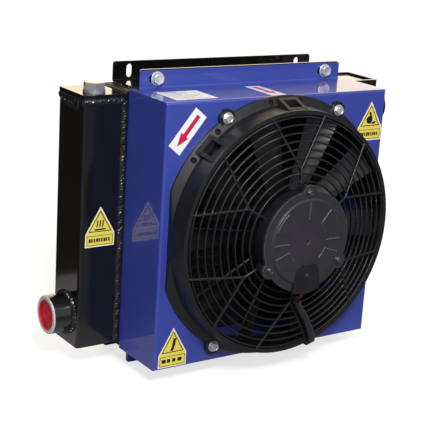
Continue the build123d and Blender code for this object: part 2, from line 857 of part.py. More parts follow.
with BuildPart() as cover_screw_set:
    with BuildSketch(facing(disc_back)):
        with Locations(*cover_screws):
            Circle(screw_flange)
    extrude(amount=flange_rise)
    with BuildSketch(facing(disc_back + flange_rise)):
        with Locations(*cover_screws):
            Circle(screw_dome)
    extrude(amount=dome_rise)
    fillet(foremost_edges(cover_screw_set), 1.2)
    with BuildSketch(facing(disc_back + flange_rise + dome_rise)):
        with Locations(*cover_screws):
            RegularPolygon(socket_radius, 6)
    extrude(amount=-1.5, mode=Mode.SUBTRACT)
    with BuildSketch(facing(disc_back)):
        with Locations(*cover_screws):
            Circle(m5_radius)
    extrude(amount=-m5_length)
save(cover_screw_set, "cover_screws")

# ---- Cable: a lid over the motor's terminals, two wires and the sleeve that carries them --------
lid_top = -29.0
lid_half_top = 16.0
lid_half_bottom = 22.0
lid_middle = 3.0
lid_corner = 9.0
lid_radius = 67.0
lid_wall = 1.0
wire_recess = 3.2
lid_screw = (4.0, -43.5)
lid_screw_radius = 2.5
wire_radius = 1.3
wire_offset = 1.65
sleeve_bore = 3.8
sleeve_start = (0.5, -81.0, 60.0)
turn_radius = 8.0
turn_reach = 45.0
turn_heading = -63.0

with BuildPart() as cable_lid:
    with BuildSketch(facing(disc_back)):
        lid = Polygon(
            (lid_middle - lid_half_top, lid_top),
            (lid_middle + lid_half_top, lid_top),
            (lid_middle + lid_half_bottom, -lid_radius),
            (lid_middle - lid_half_bottom, -lid_radius),
            align=None,
        )
        fillet(lid.vertices().group_by(Axis.Y)[-1], lid_corner)
        Circle(lid_radius, mode=Mode.INTERSECT)
    extrude(amount=fan_reach - disc_back)
    with BuildSketch(facing(disc_back)):
        Circle(disc_radius + 0.1)
    extrude(amount=disc_front - disc_back, mode=Mode.SUBTRACT)
    with BuildSketch(facing(disc_back)):
        with Locations((0, -lid_radius)):
            Rectangle(4 * wire_offset + 2, 2 * (lid_radius - disc_radius - 1))
    extrude(amount=wire_recess, mode=Mode.SUBTRACT)
    with BuildSketch(facing(fan_reach)):
        with Locations(lid_screw):
            Circle(lid_screw_radius + 0.2)
    extrude(amount=-lid_wall, mode=Mode.SUBTRACT)
save(cable_lid, "cable_lid")

with BuildPart() as cable_lid_screw:
    with BuildSketch(facing(disc_front)):
        with Locations(lid_screw):
            Circle(lid_screw_radius)
            Rectangle(1.2 * lid_screw_radius, 0.6, mode=Mode.SUBTRACT)
    extrude(amount=0.9 * lid_wall)
    with BuildSketch(facing(disc_front)):
        with Locations(lid_screw):
            Circle(lid_screw_radius / 2)
    extrude(amount=0.3 * lid_wall)
save(cable_lid_screw, "cable_lid_screw")

# The sleeve leaves the motor downwards, lies over the guard and turns back into the rim's outlet.
run = Vector(cos(radians(turn_heading)), sin(radians(turn_heading)), 0)
turn_start = Vector(sleeve_end[0] - turn_radius * run.X, sleeve_end[1] - turn_radius * run.Y, 0)
sleeve_points = [at(*sleeve_start), at(7, -90, 55.5), at(18.5, -103, 51), at(29, -118, 48.5), at(36.5, -131, 46.5)]
sleeve_points.append(at(turn_start.X, turn_start.Y, turn_reach))
for a in (45, 0):
    swing = turn_radius * cos(radians(a))
    lift = turn_radius * sin(radians(a))
    sleeve_points.append(at(turn_start.X + swing * run.X, turn_start.Y + swing * run.Y, turn_reach - turn_radius + lift))
leave = (sleeve_points[1] - sleeve_points[0]).normalized()

with BuildPart() as cable_sleeve:
    with BuildLine():
        Spline(*sleeve_points, tangents=(leave, (0, 1, 0)))
        Line(sleeve_points[-1], sleeve_points[-1] + Vector(0, 6, 0))
    with BuildSketch(Plane(sleeve_points[0], z_dir=leave)):
        Circle(sleeve_radius)
        Circle(sleeve_bore, mode=Mode.SUBTRACT)
    sweep()
save(cable_sleeve, "cable_sleeve")


wire_reach = disc_back + 1.6
wire_drop = 0.6
sleeve_entry = [sleeve_points[0], sleeve_points[0] + leave * 3]


def wire(side):
    """One of the two wires, from under the lid to just inside the sleeve."""
    shift = Vector(side * wire_offset, 0, 0)
    points = [at(0, -disc_radius - 3, wire_reach), at(0, -lid_radius - 1, wire_reach - wire_drop), *sleeve_entry]
    with BuildPart() as lead:
        with BuildLine():
            Spline(*[p + shift for p in points], tangents=((0, 0, -1), leave))
        with BuildSketch(Plane(points[0] + shift, z_dir=(0, 0, -1))):
            Circle(wire_radius)
        sweep()
    return lead


red_wire = wire(-1)
save(red_wire, "red_wire")

black_wire = wire(1)
save(black_wire, "black_wire")

# ---- Motor: case, magnets, brushes and bearings ------------------------------------------------
case_back = 14.0
case_front = disc_back - cover_flange
rear_boss = 13.0
rear_boss_back = 5.8
rear_bearing_radius = 11.0
rear_bearing_back = 7.0
press = 0.02  # gap that keeps press-fitted pieces from sharing a face
magnet_inner = 31.3
magnet_arc = 130.0
magnet_back = 20.0
magnet_front = 49.0

motor_case = turned(
    (motor_radius, case_front),
    (motor_radius, case_back),
    (rear_boss, case_back),
    (rear_boss, rear_boss_back),
    (shaft_radius + 1, rear_boss_back),
    (shaft_radius + 1, rear_bearing_back),
    (rear_bearing_radius, rear_bearing_back),
    (rear_bearing_radius, case_back + motor_wall),
    (motor_radius - motor_wall, case_back + motor_wall),
    (motor_radius - motor_wall, case_front),
)
save(motor_case, "motor_case")

rear_bearing = washer(shaft_radius + shaft_play, rear_bearing_radius - press, rear_bearing_back + press, case_back)
save(rear_bearing, "rear_bearing")

front_bearing = washer(shaft_radius + shaft_play, bearing_radius - press, boss_back + 0.2, bearing_front - 0.2)
save(front_bearing, "front_bearing")

with BuildPart() as magnets:
    with BuildSketch(facing(magnet_back)):
        for angle in (0, 180):
            spread = [radians(angle + k * magnet_arc / 4) for k in range(-2, 3)]
            Polygon((0, 0), *[(2 * motor_radius * cos(a), 2 * motor_radius * sin(a)) for a in spread], align=None)
        Circle(motor_radius - motor_wall - press, mode=Mode.INTERSECT)
        Circle(magnet_inner, mode=Mode.SUBTRACT)
    extrude(amount=magnet_front - magnet_back)
save(magnets, "magnets")

commutator_radius = 11.0
commutator_back = 53.0
commutator_front = 60.5
guide_inner = 13.5
guide_outer = 30.0
guide_half = 6.0
guide_back = 53.6
plate_back = 62.0
plate_front = 63.5
brush_half = 4.0
brush_back = 55.1
brush_front = 60.1
brush_outer = 24.0
channel_gap = 0.1

with BuildPart() as brush_holder:
    with BuildSketch(facing(plate_back)):
        Circle(cavity_radius)
        Circle(bearing_boss + 1, mode=Mode.SUBTRACT)
    extrude(amount=plate_front - plate_back)
    with BuildSketch(facing(guide_back)):
        with Locations(*[(x * (guide_inner + guide_outer) / 2, 0) for x in (-1, 1)]):
            Rectangle(guide_outer - guide_inner, 2 * guide_half)
    extrude(amount=plate_back - guide_back)
    with BuildSketch(facing(brush_back - channel_gap)):
        Rectangle(2 * guide_outer + 2, 2 * (brush_half + channel_gap))
    extrude(amount=brush_front - brush_back + 2 * channel_gap, mode=Mode.SUBTRACT)
save(brush_holder, "brush_holder")

with BuildPart() as brushes:
    with BuildSketch(facing(brush_back)):
        Rectangle(2 * brush_outer, 2 * brush_half)
        Circle(commutator_radius + shaft_play, mode=Mode.SUBTRACT)
    extrude(amount=brush_front - brush_back)
save(brushes, "brushes")

# ---- Rotor: shaft, armature, windings, commutator, impeller and its nut -------------------------
shaft_front = 69.2
shaft_back = -13.0
armature_radius = 30.5
armature_back = 22.0
armature_front = 47.0
armature_slots = 12
slot_opening = 5.0
slot_floor = 18.0
winding_outer = 27.0
winding_inner = 9.0
winding_height = 5.5
hub_floor = -3.0
hub_front = 36.0
hub_thickness = 2.5
floor_thickness = 4.0
hub_boss = 12.0
hub_boss_front = 5.0
blade_front = 26.0
blade_back = 9.0
blade_camber = 3.0

with BuildPart() as motor_shaft:
    with BuildSketch(facing(shaft_back)):
        Circle(shaft_radius)
    extrude(amount=shaft_front - shaft_back)
save(motor_shaft, "motor_shaft")

with BuildPart() as armature:
    with BuildSketch(facing(armature_back)):
        Circle(armature_radius)
        Circle(shaft_radius, mode=Mode.SUBTRACT)
        with PolarLocations((slot_floor + armature_radius) / 2 + 1, armature_slots):
            Rectangle(armature_radius - slot_floor + 2, slot_opening, mode=Mode.SUBTRACT)
    extrude(amount=armature_front - armature_back)
save(armature, "armature")

with BuildPart() as windings:
    add(washer(winding_inner, winding_outer, armature_front, armature_front + winding_height).part)
    add(washer(winding_inner, winding_outer, armature_back - winding_height, armature_back).part)
    fillet(windings.edges().filter_by(GeomType.CIRCLE).filter_by(lambda e: e.radius > winding_inner + 1), 2)
save(windings, "windings")

commutator = washer(shaft_radius, commutator_radius, commutator_back, commutator_front)
save(commutator, "commutator")


def blade_section(radius):
    """A blade's curved section at a radius: its leading edge is at the back, its trailing edge at the front."""
    half = radius * blade_arc / 2 * pi / 180
    lead = Vector(half, blade_back)
    middle = Vector(0, (blade_back + blade_front) / 2 - blade_camber)
    trail = Vector(-half, blade_front)
    lift = Vector(blade_front - blade_back, 2 * half).normalized() * blade_thickness
    with BuildSketch(outward(90, radius, 0)) as section:
        with BuildLine():
            ThreePointArc(lead, middle, trail)
            Line(trail, trail + lift)
            ThreePointArc(trail + lift, middle + lift, lead + lift)
            Line(lead + lift, lead)
        make_face()
    return section


with BuildPart() as blade:
    add(blade_section(impeller_hub - 1.5).sketch)
    add(blade_section((impeller_hub + blade_tip) / 2).sketch)
    add(blade_section(blade_tip + 5).sketch)
    loft()
    with BuildSketch(facing(blade_back - blade_thickness)):
        Circle(blade_tip)
    extrude(amount=fan_reach, mode=Mode.INTERSECT)

with BuildPart() as impeller:
    add(turned(
        (shaft_radius, hub_floor),
        (impeller_hub, hub_floor),
        (impeller_hub, hub_front),
        (impeller_hub - hub_thickness, hub_front),
        (impeller_hub - hub_thickness, hub_floor + floor_thickness),
        (hub_boss, hub_floor + floor_thickness),
        (hub_boss, hub_boss_front),
        (shaft_radius, hub_boss_front),
    ).part)
    for k in range(blade_count):
        add(blade.part.rotate(spindle, blade_start + k * 360 / blade_count))
save(impeller, "impeller")

with BuildPart() as impeller_nut:
    with BuildSketch(facing(hub_floor)):
        RegularPolygon(m8_hexagon, 6)
        Circle(shaft_radius, mode=Mode.SUBTRACT)
    extrude(amount=-nut_height)
save(impeller_nut, "impeller_nut")
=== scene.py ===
import bmesh
import bpy
import json
from math import cos, pi, radians, sin, sqrt, tan
from mathutils import Matrix, Vector, noise


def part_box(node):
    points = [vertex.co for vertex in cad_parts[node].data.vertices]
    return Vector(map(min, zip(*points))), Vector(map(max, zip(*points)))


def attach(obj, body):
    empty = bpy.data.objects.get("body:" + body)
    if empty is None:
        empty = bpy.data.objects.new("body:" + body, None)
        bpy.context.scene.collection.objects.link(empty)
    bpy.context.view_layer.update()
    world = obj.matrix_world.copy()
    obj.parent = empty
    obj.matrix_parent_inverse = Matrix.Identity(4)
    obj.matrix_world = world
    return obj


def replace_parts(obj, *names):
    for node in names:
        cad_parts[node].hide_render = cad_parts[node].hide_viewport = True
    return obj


# Looks for the hydraulic oil cooler. Metres, in the CAD's frame: +Z up, the fan faces -Y.
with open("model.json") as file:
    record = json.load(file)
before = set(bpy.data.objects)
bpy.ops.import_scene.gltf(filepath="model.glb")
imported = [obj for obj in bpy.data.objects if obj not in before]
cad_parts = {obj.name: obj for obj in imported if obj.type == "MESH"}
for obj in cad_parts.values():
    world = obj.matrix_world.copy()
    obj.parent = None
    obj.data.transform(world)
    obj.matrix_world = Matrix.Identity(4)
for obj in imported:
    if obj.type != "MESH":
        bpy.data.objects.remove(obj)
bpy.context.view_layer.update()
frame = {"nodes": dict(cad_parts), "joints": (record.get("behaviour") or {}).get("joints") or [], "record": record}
mm = 0.001

# ---- Places taken from the frame ----------------------------------------------------------
shroud_low, shroud_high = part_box("shroud")
shell_low, shell_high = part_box("left_tank")
port_low, port_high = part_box("left_port")
right_port_low, right_port_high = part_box("right_port")
bracket_low, bracket_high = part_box("top_bracket")
lower_bracket_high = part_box("bottom_bracket")[1]
spin = next(j for j in frame["joints"] if j["name"] == "fan_spin")
fan_axis = Vector(spin["pos_m"])
face_y = shroud_low.y
axis_z = fan_axis.z
side_x = shroud_high.x
shroud_top = axis_z + side_x  # the shroud is square
tank_x = -shell_low.x
tank_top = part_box("left_tank_caps")[1].z
port_y = (port_low.y + port_high.y) / 2
left_face = (port_low.x, port_y, (port_low.z + port_high.z) / 2)
right_face = (right_port_high.x, port_y, (right_port_low.z + right_port_high.z) / 2)


def on_face(x, z):
    """A point on the shroud's face, from the fan's axis."""
    return Vector((x, face_y, axis_z + z))


# ---- Node materials -----------------------------------------------------------------------
class Look:
    """A node material under construction, with short calls for the nodes that the finishes share."""

    def __init__(self, name, **values):
        self.material = bpy.data.materials.new(name)
        self.material.use_nodes = True
        self.tree = self.material.node_tree
        self.shader = self.tree.nodes["Principled BSDF"]
        self.place = self.node("ShaderNodeTexCoord").outputs["Object"]
        self.set(**values)

    def node(self, kind, **settings):
        made = self.tree.nodes.new(kind)
        for key, value in settings.items():
            setattr(made, key, value)
        return made

    def link(self, source, target):
        self.tree.links.new(source, target)

    def put(self, value, socket):
        """Links an output to the socket, or sets the socket to a plain value."""
        if isinstance(value, bpy.types.NodeSocket):
            self.link(value, socket)
        else:
            socket.default_value = value

    def set(self, **values):
        """Sets the shader's inputs, named in lower case with underscores."""
        for key, value in values.items():
            self.put(value, self.shader.inputs[key.replace("_", " ").title().replace("Ior", "IOR")])

    def noise(self, size, detail=3.0, rough=0.5, stretch=None):
        """A noise from 0 to 1 whose features are about size across."""
        where = self.place
        if stretch:
            mapping = self.node("ShaderNodeMapping")
            mapping.inputs["Scale"].default_value = stretch
            self.link(where, mapping.inputs["Vector"])
            where = mapping.outputs["Vector"]
        made = self.node("ShaderNodeTexNoise")
        made.inputs["Scale"].default_value = 1 / size
        made.inputs["Detail"].default_value = detail
        made.inputs["Roughness"].default_value = rough
        self.link(where, made.inputs["Vector"])
        return made.outputs["Fac"]

    def span(self, value, low, high, start=0.0, end=1.0):
        """Maps low..high of a value onto start..end, held at both ends."""
        made = self.node("ShaderNodeMapRange", clamp=True)
        for socket, number in zip(made.inputs, (None, low, high, start, end)):
            if number is not None:
                socket.default_value = number
        self.link(value, made.inputs["Value"])
        return made.outputs["Result"]

    def math(self, operation, a, b=0.5, c=0.0):
        """The result of a sum on numbers or outputs."""
        made = self.node("ShaderNodeMath", operation=operation)
        for socket, value in zip(made.inputs, (a, b, c)):
            self.put(value, socket)
        return made.outputs["Value"]

    def mix(self, share, a, b):
        """Mixes two colours."""
        made = self.node("ShaderNodeMix", data_type="RGBA")
        for socket, value in ((made.inputs[0], share), (made.inputs[6], a), (made.inputs[7], b)):
            self.put(value, socket)
        return made.outputs[2]

    def along(self, axis):
        """The place along one axis, in metres."""
        parts = self.node("ShaderNodeSeparateXYZ")
        self.link(self.place, parts.inputs[0])
        return parts.outputs[axis]

    def corners(self, distance):
        """A mask for painted shade: 1 in inner corners, falling to 0 about distance away from them."""
        open_air = self.node("ShaderNodeAmbientOcclusion", samples=6)
        open_air.inputs["Distance"].default_value = distance
        return self.span(open_air.outputs["AO"], 0.85, 0.35)

    def edges(self, radius):
        """A normal that rounds the edges, and a mask that is 1 on them."""
        bevel = self.node("ShaderNodeBevel", samples=4)
        bevel.inputs["Radius"].default_value = radius
        geometry = self.node("ShaderNodeNewGeometry")
        product = self.node("ShaderNodeVectorMath", operation="DOT_PRODUCT")
        self.link(bevel.outputs["Normal"], product.inputs[0])
        self.link(geometry.outputs["Normal"], product.inputs[1])
        mask = self.span(product.outputs["Value"], 0.995, 0.85)
        return bevel.outputs["Normal"], mask

    def bump(self, height, strength, distance, normal=None):
        """A normal raised by a height that is distance deep."""
        made = self.node("ShaderNodeBump")
        made.inputs["Strength"].default_value = strength
        made.inputs["Distance"].default_value = distance
        self.link(height, made.inputs["Height"])
        if normal is not None:
            self.link(normal, made.inputs["Normal"])
        return made.outputs["Normal"]


def grey(value):
    return (value, value, value, 1)


def gloss_paint(name, colour, rim, roughness, peel, coat=0.6):
    """Sprayed gloss paint: even colour, orange peel, a thin rim where it pulls off edges, faint dust."""
    look = Look(name, ior=1.5, coat_weight=coat, coat_roughness=0.04)
    normal, edge = look.edges(0.5 * mm)
    cloud = look.span(look.noise(90 * mm, 4), 0.3, 0.7, 0.9, 1.1)
    toned = look.node("ShaderNodeHueSaturation")
    toned.inputs["Color"].default_value = colour
    look.link(cloud, toned.inputs["Value"])
    broken = look.math("MULTIPLY", edge, look.span(look.noise(4 * mm, 5), 0.35, 0.65, 0.1, 0.55))
    look.set(base_color=look.mix(broken, toned.outputs["Color"], rim))
    dust = look.span(look.noise(0.9 * mm, 6, 0.7), 0.68, 0.78, 0, 0.25)
    look.set(roughness=look.math("ADD", dust, roughness))
    waves = look.bump(look.noise(2.6 * mm, 2), peel, 0.12 * mm, normal)
    look.set(normal=waves, coat_normal=waves)
    return look.material


def moulded(name, colour, roughness, grain=0.25, edge_wear_and_highlight=grey(0.06), edge_radius=0.35 * mm):
    """Moulded plastic: fine grain, cloudy sheen, and paler edges, which stand for wear and, on the motor cover, a
    painted highlight.
    """
    look = Look(name, roughness=roughness, ior=1.49)
    normal, edge = look.edges(edge_radius)
    cloud = look.span(look.noise(45 * mm, 5), 0.3, 0.7, 0.0, 0.35)
    body = look.mix(cloud, colour, tuple(1.7 * c for c in colour[:3]) + (1,))
    # Edges take the edge colour: rubbed plastic, and a painted highlight where that colour is bright, as on the
    # motor cover.
    look.set(base_color=look.mix(look.math("MULTIPLY", edge, 0.5), body, edge_wear_and_highlight))
    look.set(roughness=look.span(look.noise(12 * mm, 5), 0.25, 0.75, roughness - 0.07, roughness + 0.1))
    look.set(normal=look.bump(look.noise(0.7 * mm, 3), grain, 0.05 * mm, normal))
    return look.material


def zinc(name, tint=(0.86, 0.88, 0.90, 1), roughness=0.32, scuff=0.18):
    """Zinc plating: bright metal, faintly yellow in places, with painted shade in inner corners and small scuffs.
    """
    look = Look(name, metallic=0.8)
    normal, edge = look.edges(0.3 * mm)
    stain = look.span(look.noise(5 * mm, 4), 0.45, 0.75, 0, 0.6)
    body = look.mix(stain, tint, (0.70, 0.67, 0.58, 1))
    body = look.mix(look.math("MULTIPLY", edge, 0.6), body, grey(0.9))
    # Painted shade: the base colour goes nearly black in inner corners, from the occlusion mask.
    look.set(base_color=look.mix(look.corners(2.2 * mm), body, grey(0.03)))
    look.set(roughness=look.span(look.noise(1.5 * mm, 5), 0.3, 0.7, roughness - 0.08, roughness + 0.16))
    scuffs = look.noise(0.8 * mm, 4, 0.6, stretch=(1, 1, 6))
    look.set(normal=look.bump(scuffs, scuff, 0.05 * mm, normal))
    return look.material


def turned_metal(name, colour, centre, axis, pitch=0.35 * mm, roughness=0.42):
    """Machined metal, slightly dulled, with fine rings about a line through centre."""
    look = Look(name, metallic=0.45, roughness=roughness)
    normal, edge = look.edges(0.3 * mm)
    offset = look.node("ShaderNodeVectorMath", operation="SUBTRACT")
    look.link(look.place, offset.inputs[0])
    offset.inputs[1].default_value = centre
    across = look.node("ShaderNodeVectorMath", operation="MULTIPLY")
    look.link(offset.outputs["Vector"], across.inputs[0])
    across.inputs[1].default_value = [0 if abs(a) > 0.5 else 1 for a in axis]
    radius = look.node("ShaderNodeVectorMath", operation="LENGTH")
    look.link(across.outputs["Vector"], radius.inputs[0])
    rings = look.math("SINE", look.math("MULTIPLY", radius.outputs["Value"], 2 * pi / pitch))
    cloud = look.span(look.noise(6 * mm, 4), 0.3, 0.7, 0, 0.5)
    look.set(base_color=look.mix(cloud, colour, tuple(0.72 * c for c in colour[:3]) + (1,)))
    look.set(roughness=look.span(look.noise(2 * mm, 4), 0.3, 0.7, roughness, roughness + 0.15))
    look.set(normal=look.bump(rings, 0.2, 0.02 * mm, normal))
    return look.material


def plain_metal(name, colour, roughness=0.35, speckle=1.2 * mm):
    """Rolled or ground metal with a fine speckle and cloudy sheen."""
    look = Look(name, metallic=1.0)
    normal, edge = look.edges(0.3 * mm)
    cloud = look.span(look.noise(14 * mm, 5), 0.3, 0.7, 0, 0.5)
    body = look.mix(cloud, colour, tuple(0.6 * c for c in colour[:3]) + (1,))
    look.set(base_color=look.mix(look.math("MULTIPLY", edge, 0.5), body, grey(0.85)))
    look.set(roughness=look.span(look.noise(speckle, 4), 0.3, 0.7, roughness - 0.08, roughness + 0.12))
    look.set(normal=look.bump(look.noise(speckle, 3), 0.15, 0.04 * mm, normal))
    return look.material


def copper_wire(name):
    """Varnished copper turns, wound round the fan's axis."""
    look = Look(name, metallic=0.9, roughness=0.3, coat_weight=0.5)
    normal, edge = look.edges(0.3 * mm)
    turns = look.node("ShaderNodeTexWave", bands_direction="DIAGONAL")
    turns.inputs["Scale"].default_value = 0.25 / mm
    turns.inputs["Distortion"].default_value = 1.5
    look.link(look.place, turns.inputs["Vector"])
    look.set(base_color=look.mix(turns.outputs["Fac"], (0.30, 0.09, 0.03, 1), (0.66, 0.27, 0.10, 1)))
    look.set(normal=look.bump(turns.outputs["Fac"], 0.5, 0.3 * mm, normal))
    return look.material


def vinyl(name, colour, roughness=0.3):
    """Printed vinyl film: nearly even colour, a slight print grain and a soft gloss."""
    look = Look(name, roughness=roughness, ior=1.45, coat_weight=0.2, coat_roughness=0.15)
    faded = look.span(look.noise(14 * mm, 4), 0.3, 0.7, 0, 0.12)
    look.set(base_color=look.mix(faded, colour, tuple(0.75 * c for c in colour[:3]) + (1,)))
    look.set(normal=look.bump(look.noise(5 * mm, 3), 0.12, 0.1 * mm))
    return look.material


def label_paper(name):
    """Plain white rating label, slightly yellowed, with a silky print surface."""
    look = Look(name, roughness=0.42)
    cloud = look.span(look.noise(9 * mm, 4), 0.35, 0.65, 0, 0.5)
    look.set(base_color=look.mix(cloud, (0.88, 0.86, 0.82, 1), (0.80, 0.76, 0.69, 1)))
    look.set(normal=look.bump(look.noise(0.6 * mm, 3), 0.1, 0.03 * mm))
    return look.material


blue_rim = (0.13, 0.18, 0.55, 1)
blue = gloss_paint("blue_paint", (0.027, 0.049, 0.315, 1), blue_rim, roughness=0.50, peel=0.10, coat=1.0)
black_rim = (0.05, 0.045, 0.04, 1)
black_gloss = gloss_paint("black_paint", (0.004, 0.004, 0.0045, 1), black_rim, roughness=0.14, peel=0.16)
fan_black = moulded("fan_plastic", (0.008, 0.008, 0.009, 1), roughness=0.38)
blade_black = moulded("blade_plastic", (0.008, 0.008, 0.009, 1), roughness=0.34)
# The motor cover's wide pale grey edges are a painted highlight on the edges of its raised pads.
cover_black = moulded("cover_paint", (0.024, 0.022, 0.026, 1), roughness=0.36, grain=0.35, edge_wear_and_highlight=grey(0.30),
                      edge_radius=0.9 * mm)
rubber = moulded("seal_rubber", (0.012, 0.012, 0.012, 1), roughness=0.62, grain=0.6)
bright_zinc = zinc("zinc")
plug_zinc = zinc("plug_zinc", (0.58, 0.62, 0.60, 1), roughness=0.28, scuff=0.05)
dark_steel = plain_metal("dark_steel", (0.16, 0.155, 0.16, 1), roughness=0.38)
red_cap = moulded("red_plastic", (0.52, 0.001, 0.012, 1), roughness=0.45, grain=0.2,
                  edge_wear_and_highlight=(0.66, 0.03, 0.05, 1))
red_skin = moulded("red_insulation", (0.09, 0.006, 0.008, 1), roughness=0.42, grain=0.1,
                   edge_wear_and_highlight=(0.15, 0.02, 0.02, 1))
black_skin = moulded("black_insulation", (0.012, 0.012, 0.012, 1), roughness=0.32, grain=0.1)
sleeve_black = moulded("sleeve_plastic", (0.020, 0.020, 0.022, 1), roughness=0.34, grain=0.4, edge_wear_and_highlight=grey(0.09))
bare_aluminium = plain_metal("bare_aluminium", (0.72, 0.72, 0.73, 1), roughness=0.3)
fin_metal = plain_metal("fin_metal", (0.25, 0.22, 0.18, 1), roughness=0.40, speckle=0.8 * mm)
core_black = moulded("core_paint", (0.006, 0.006, 0.006, 1), roughness=0.5, grain=0.5, edge_wear_and_highlight=grey(0.02))
weld_rim = (0.045, 0.042, 0.040, 1)
weld_paint = gloss_paint("weld_paint", (0.008, 0.008, 0.009, 1), weld_rim, roughness=0.30, peel=0.4, coat=0.1)
motor_steel = plain_metal("motor_steel", (0.50, 0.50, 0.51, 1), roughness=0.3)
ferrite = plain_metal("ferrite", (0.06, 0.06, 0.065, 1), roughness=0.55)
carbon = moulded("carbon", (0.02, 0.02, 0.022, 1), roughness=0.5, grain=0.5)
copper = copper_wire("copper")
machined = turned_metal("machined_left", (0.80, 0.79, 0.77, 1), left_face, (1, 0, 0))
machined_right = turned_metal("machined_right", (0.80, 0.79, 0.77, 1), right_face, (1, 0, 0))
white_vinyl = vinyl("white_vinyl", (0.86, 0.86, 0.86, 1))
red_ink = vinyl("red_ink", (0.60, 0.006, 0.07, 1))
yellow_vinyl = vinyl("yellow_vinyl", (0.80, 0.66, 0.10, 1))
black_ink = vinyl("black_ink", (0.01, 0.01, 0.01, 1))
grey_ink = vinyl("grey_ink", (0.45, 0.44, 0.46, 1))
paper = label_paper("label_paper")

finishes = {
    "blue_paint": blue,
    "black_paint": black_gloss,
    "bare_aluminium": bare_aluminium,
    "zinc": bright_zinc,
    "black_plastic": fan_black,
    "cover_paint": cover_black,
    "red_plastic": red_cap,
    "seal_rubber": rubber,
    "red_insulation": red_skin,
    "black_insulation": black_skin,
    "sleeve_plastic": sleeve_black,
    "motor_steel": motor_steel,
    "copper": copper,
    "ferrite": ferrite,
    "carbon": carbon,
}
plugs = ("vent_plug", "vent_seal", "drain_plug", "drain_seal")
core = ("core_oil_tubes", "core_end_bars", "core_top_plate", "core_bottom_plate")
own_finish = {"impeller": blade_black, "cover_screws": dark_steel, "cable_lid_screw": dark_steel}
own_finish.update((name, plug_zinc) for name in plugs)
own_finish.update((name, core_black) for name in core)
slot_of = {part["node"]: part["material_slot"] for part in frame["record"]["subparts"]}
for name, thing in frame["nodes"].items():
    thing.data.materials.clear()
    thing.data.materials.append(own_finish.get(name, finishes[slot_of[name]]))


# ---- Mesh helpers -------------------------------------------------------------------------
def piece(name, points, faces, materials, marks):
    """A mesh piece that rides on the cooler's body. Marks gives each face's material, as an index."""
    mesh = bpy.data.meshes.new(name)
    mesh.from_pydata([tuple(p) for p in points], [], faces)
    for material in materials:
        mesh.materials.append(material)
    mesh.polygons.foreach_set("material_index", marks)
    solid = bmesh.new()
    solid.from_mesh(mesh)
    bmesh.ops.recalc_face_normals(solid, faces=solid.faces)
    solid.to_mesh(mesh)
    solid.free()
    mesh.shade_smooth()
    mesh.set_sharp_from_angle(angle=radians(34))
    made = bpy.data.objects.new(name, mesh)
    bpy.context.scene.collection.objects.link(made)
    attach(made, "cooler")
    return made


class Build:
    """Points, faces and face marks gathered for one piece made of closed solids."""

    def __init__(self):
        self.points, self.faces, self.marks = [], [], []

    def face(self, corners, mark=0):
        self.faces.append(tuple(corners))
        self.marks.append(mark)

    def grid(self, rows, marks=0, closed_rows=False):
        """Joins closed rows of points of equal length. Marks is one number, or one for each strip."""
        start, columns, count = len(self.points), len(rows[0]), len(rows)
        for row in rows:
            self.points.extend(row)
        for i in range(count if closed_rows else count - 1):
            mark = marks[i] if isinstance(marks, list) else marks
            for j in range(columns):
                a, b = start + i * columns, start + (i + 1) % count * columns
                k = (j + 1) % columns
                self.face((a + j, a + k, b + k, b + j), mark)
        return start

    def tube(self, rows, marks=0, first_mark=0, last_mark=0):
        """A closed solid: a grid of closed rows with a flat face over its first and last row."""
        start, columns = self.grid(rows, marks), len(rows[0])
        last = start + (len(rows) - 1) * columns
        self.face(reversed(range(start, start + columns)), first_mark)
        self.face(range(last, last + columns), last_mark)

    def done(self, name, materials):
        return piece(name, self.points, self.faces, materials, self.marks)


def steps(start, end, size):
    """Even steps of about size from start to end, both included."""
    count = max(1, round(abs(end - start) / size))
    return [start + (end - start) * i / count for i in range(count + 1)]


def wobble(seed, place):
    """A smooth random number from -1 to 1 that depends only on the seed and the place."""
    return noise.noise(Vector((seed * 7.3, place, seed * 1.7)))


# ---- Cooling fins: fine herringbone fins in place of the CAD's coarse ones --------------------
air_layers = 26
tube_height = 3.6 * mm
fin_pitch = 3.4 * mm  # one whole fold, across the core
fin_crest = 0.6 * mm  # flat length where a fold touches a tube
fin_sheet = 0.16 * mm
fin_waves = 6  # half waves of the herringbone, through the core
fin_wave = 0.55 * mm
fin_unevenness = 0.25 * mm


def zigzag(start, end, height):
    """A folded path with flat crests and steep walls."""
    count = int((end - start) / (fin_pitch / 2))
    path = []
    for i in range(count):
        level = height / 2 if i % 2 else -height / 2
        at_x = start + i * fin_pitch / 2
        path += [(at_x, level), (at_x + fin_crest, level)]
    return path


def moved_aside(path, distance):
    """The path moved sideways, with mitred corners."""
    ways = [(Vector(b) - Vector(a)).normalized() for a, b in zip(path, path[1:])]
    moved = []
    for point, before, after in zip(path, ways[:1] + ways, ways + ways[-1:]):
        a, b = Vector((-before.y, before.x)), Vector((-after.y, after.x))
        moved.append(Vector(point) + (a + b) * distance / (1 + a.dot(b)))
    return moved


def cooling_fins():
    """Folded strips between the oil tubes. Each strip is a closed sheet that sways from front to back."""
    low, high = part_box("air_fins")
    pitch = (high.z - low.z + tube_height) / air_layers
    height = pitch - tube_height
    margin = 2 * fin_wave
    path = zigzag(low.x + margin, high.x - margin, height - fin_sheet)
    upper, lower = moved_aside(path, fin_sheet / 2), moved_aside(path, -fin_sheet / 2)
    outline, count = upper + lower[::-1], len(path)
    build = Build()
    for layer in range(air_layers):
        middle = low.z + height / 2 + layer * pitch
        rows = []
        for wave in range(fin_waves + 1):
            y = low.y + (high.y - low.y) * wave / fin_waves
            sway = fin_wave if wave % 2 else -fin_wave
            bent = [sway + fin_unevenness * wobble(layer + 1, p.x * 90 + wave) for p in outline]
            rows.append([Vector((p.x + b, y, middle + p.y)) for p, b in zip(outline, bent)])
        start = build.grid(rows)
        for first in (start, start + fin_waves * len(outline)):
            for i in range(count - 1):
                back = first + 2 * count - 1 - i
                build.face((first + i, first + i + 1, back - 1, back))
    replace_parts(build.done("cooling_fins", [fin_metal]), "air_fins")


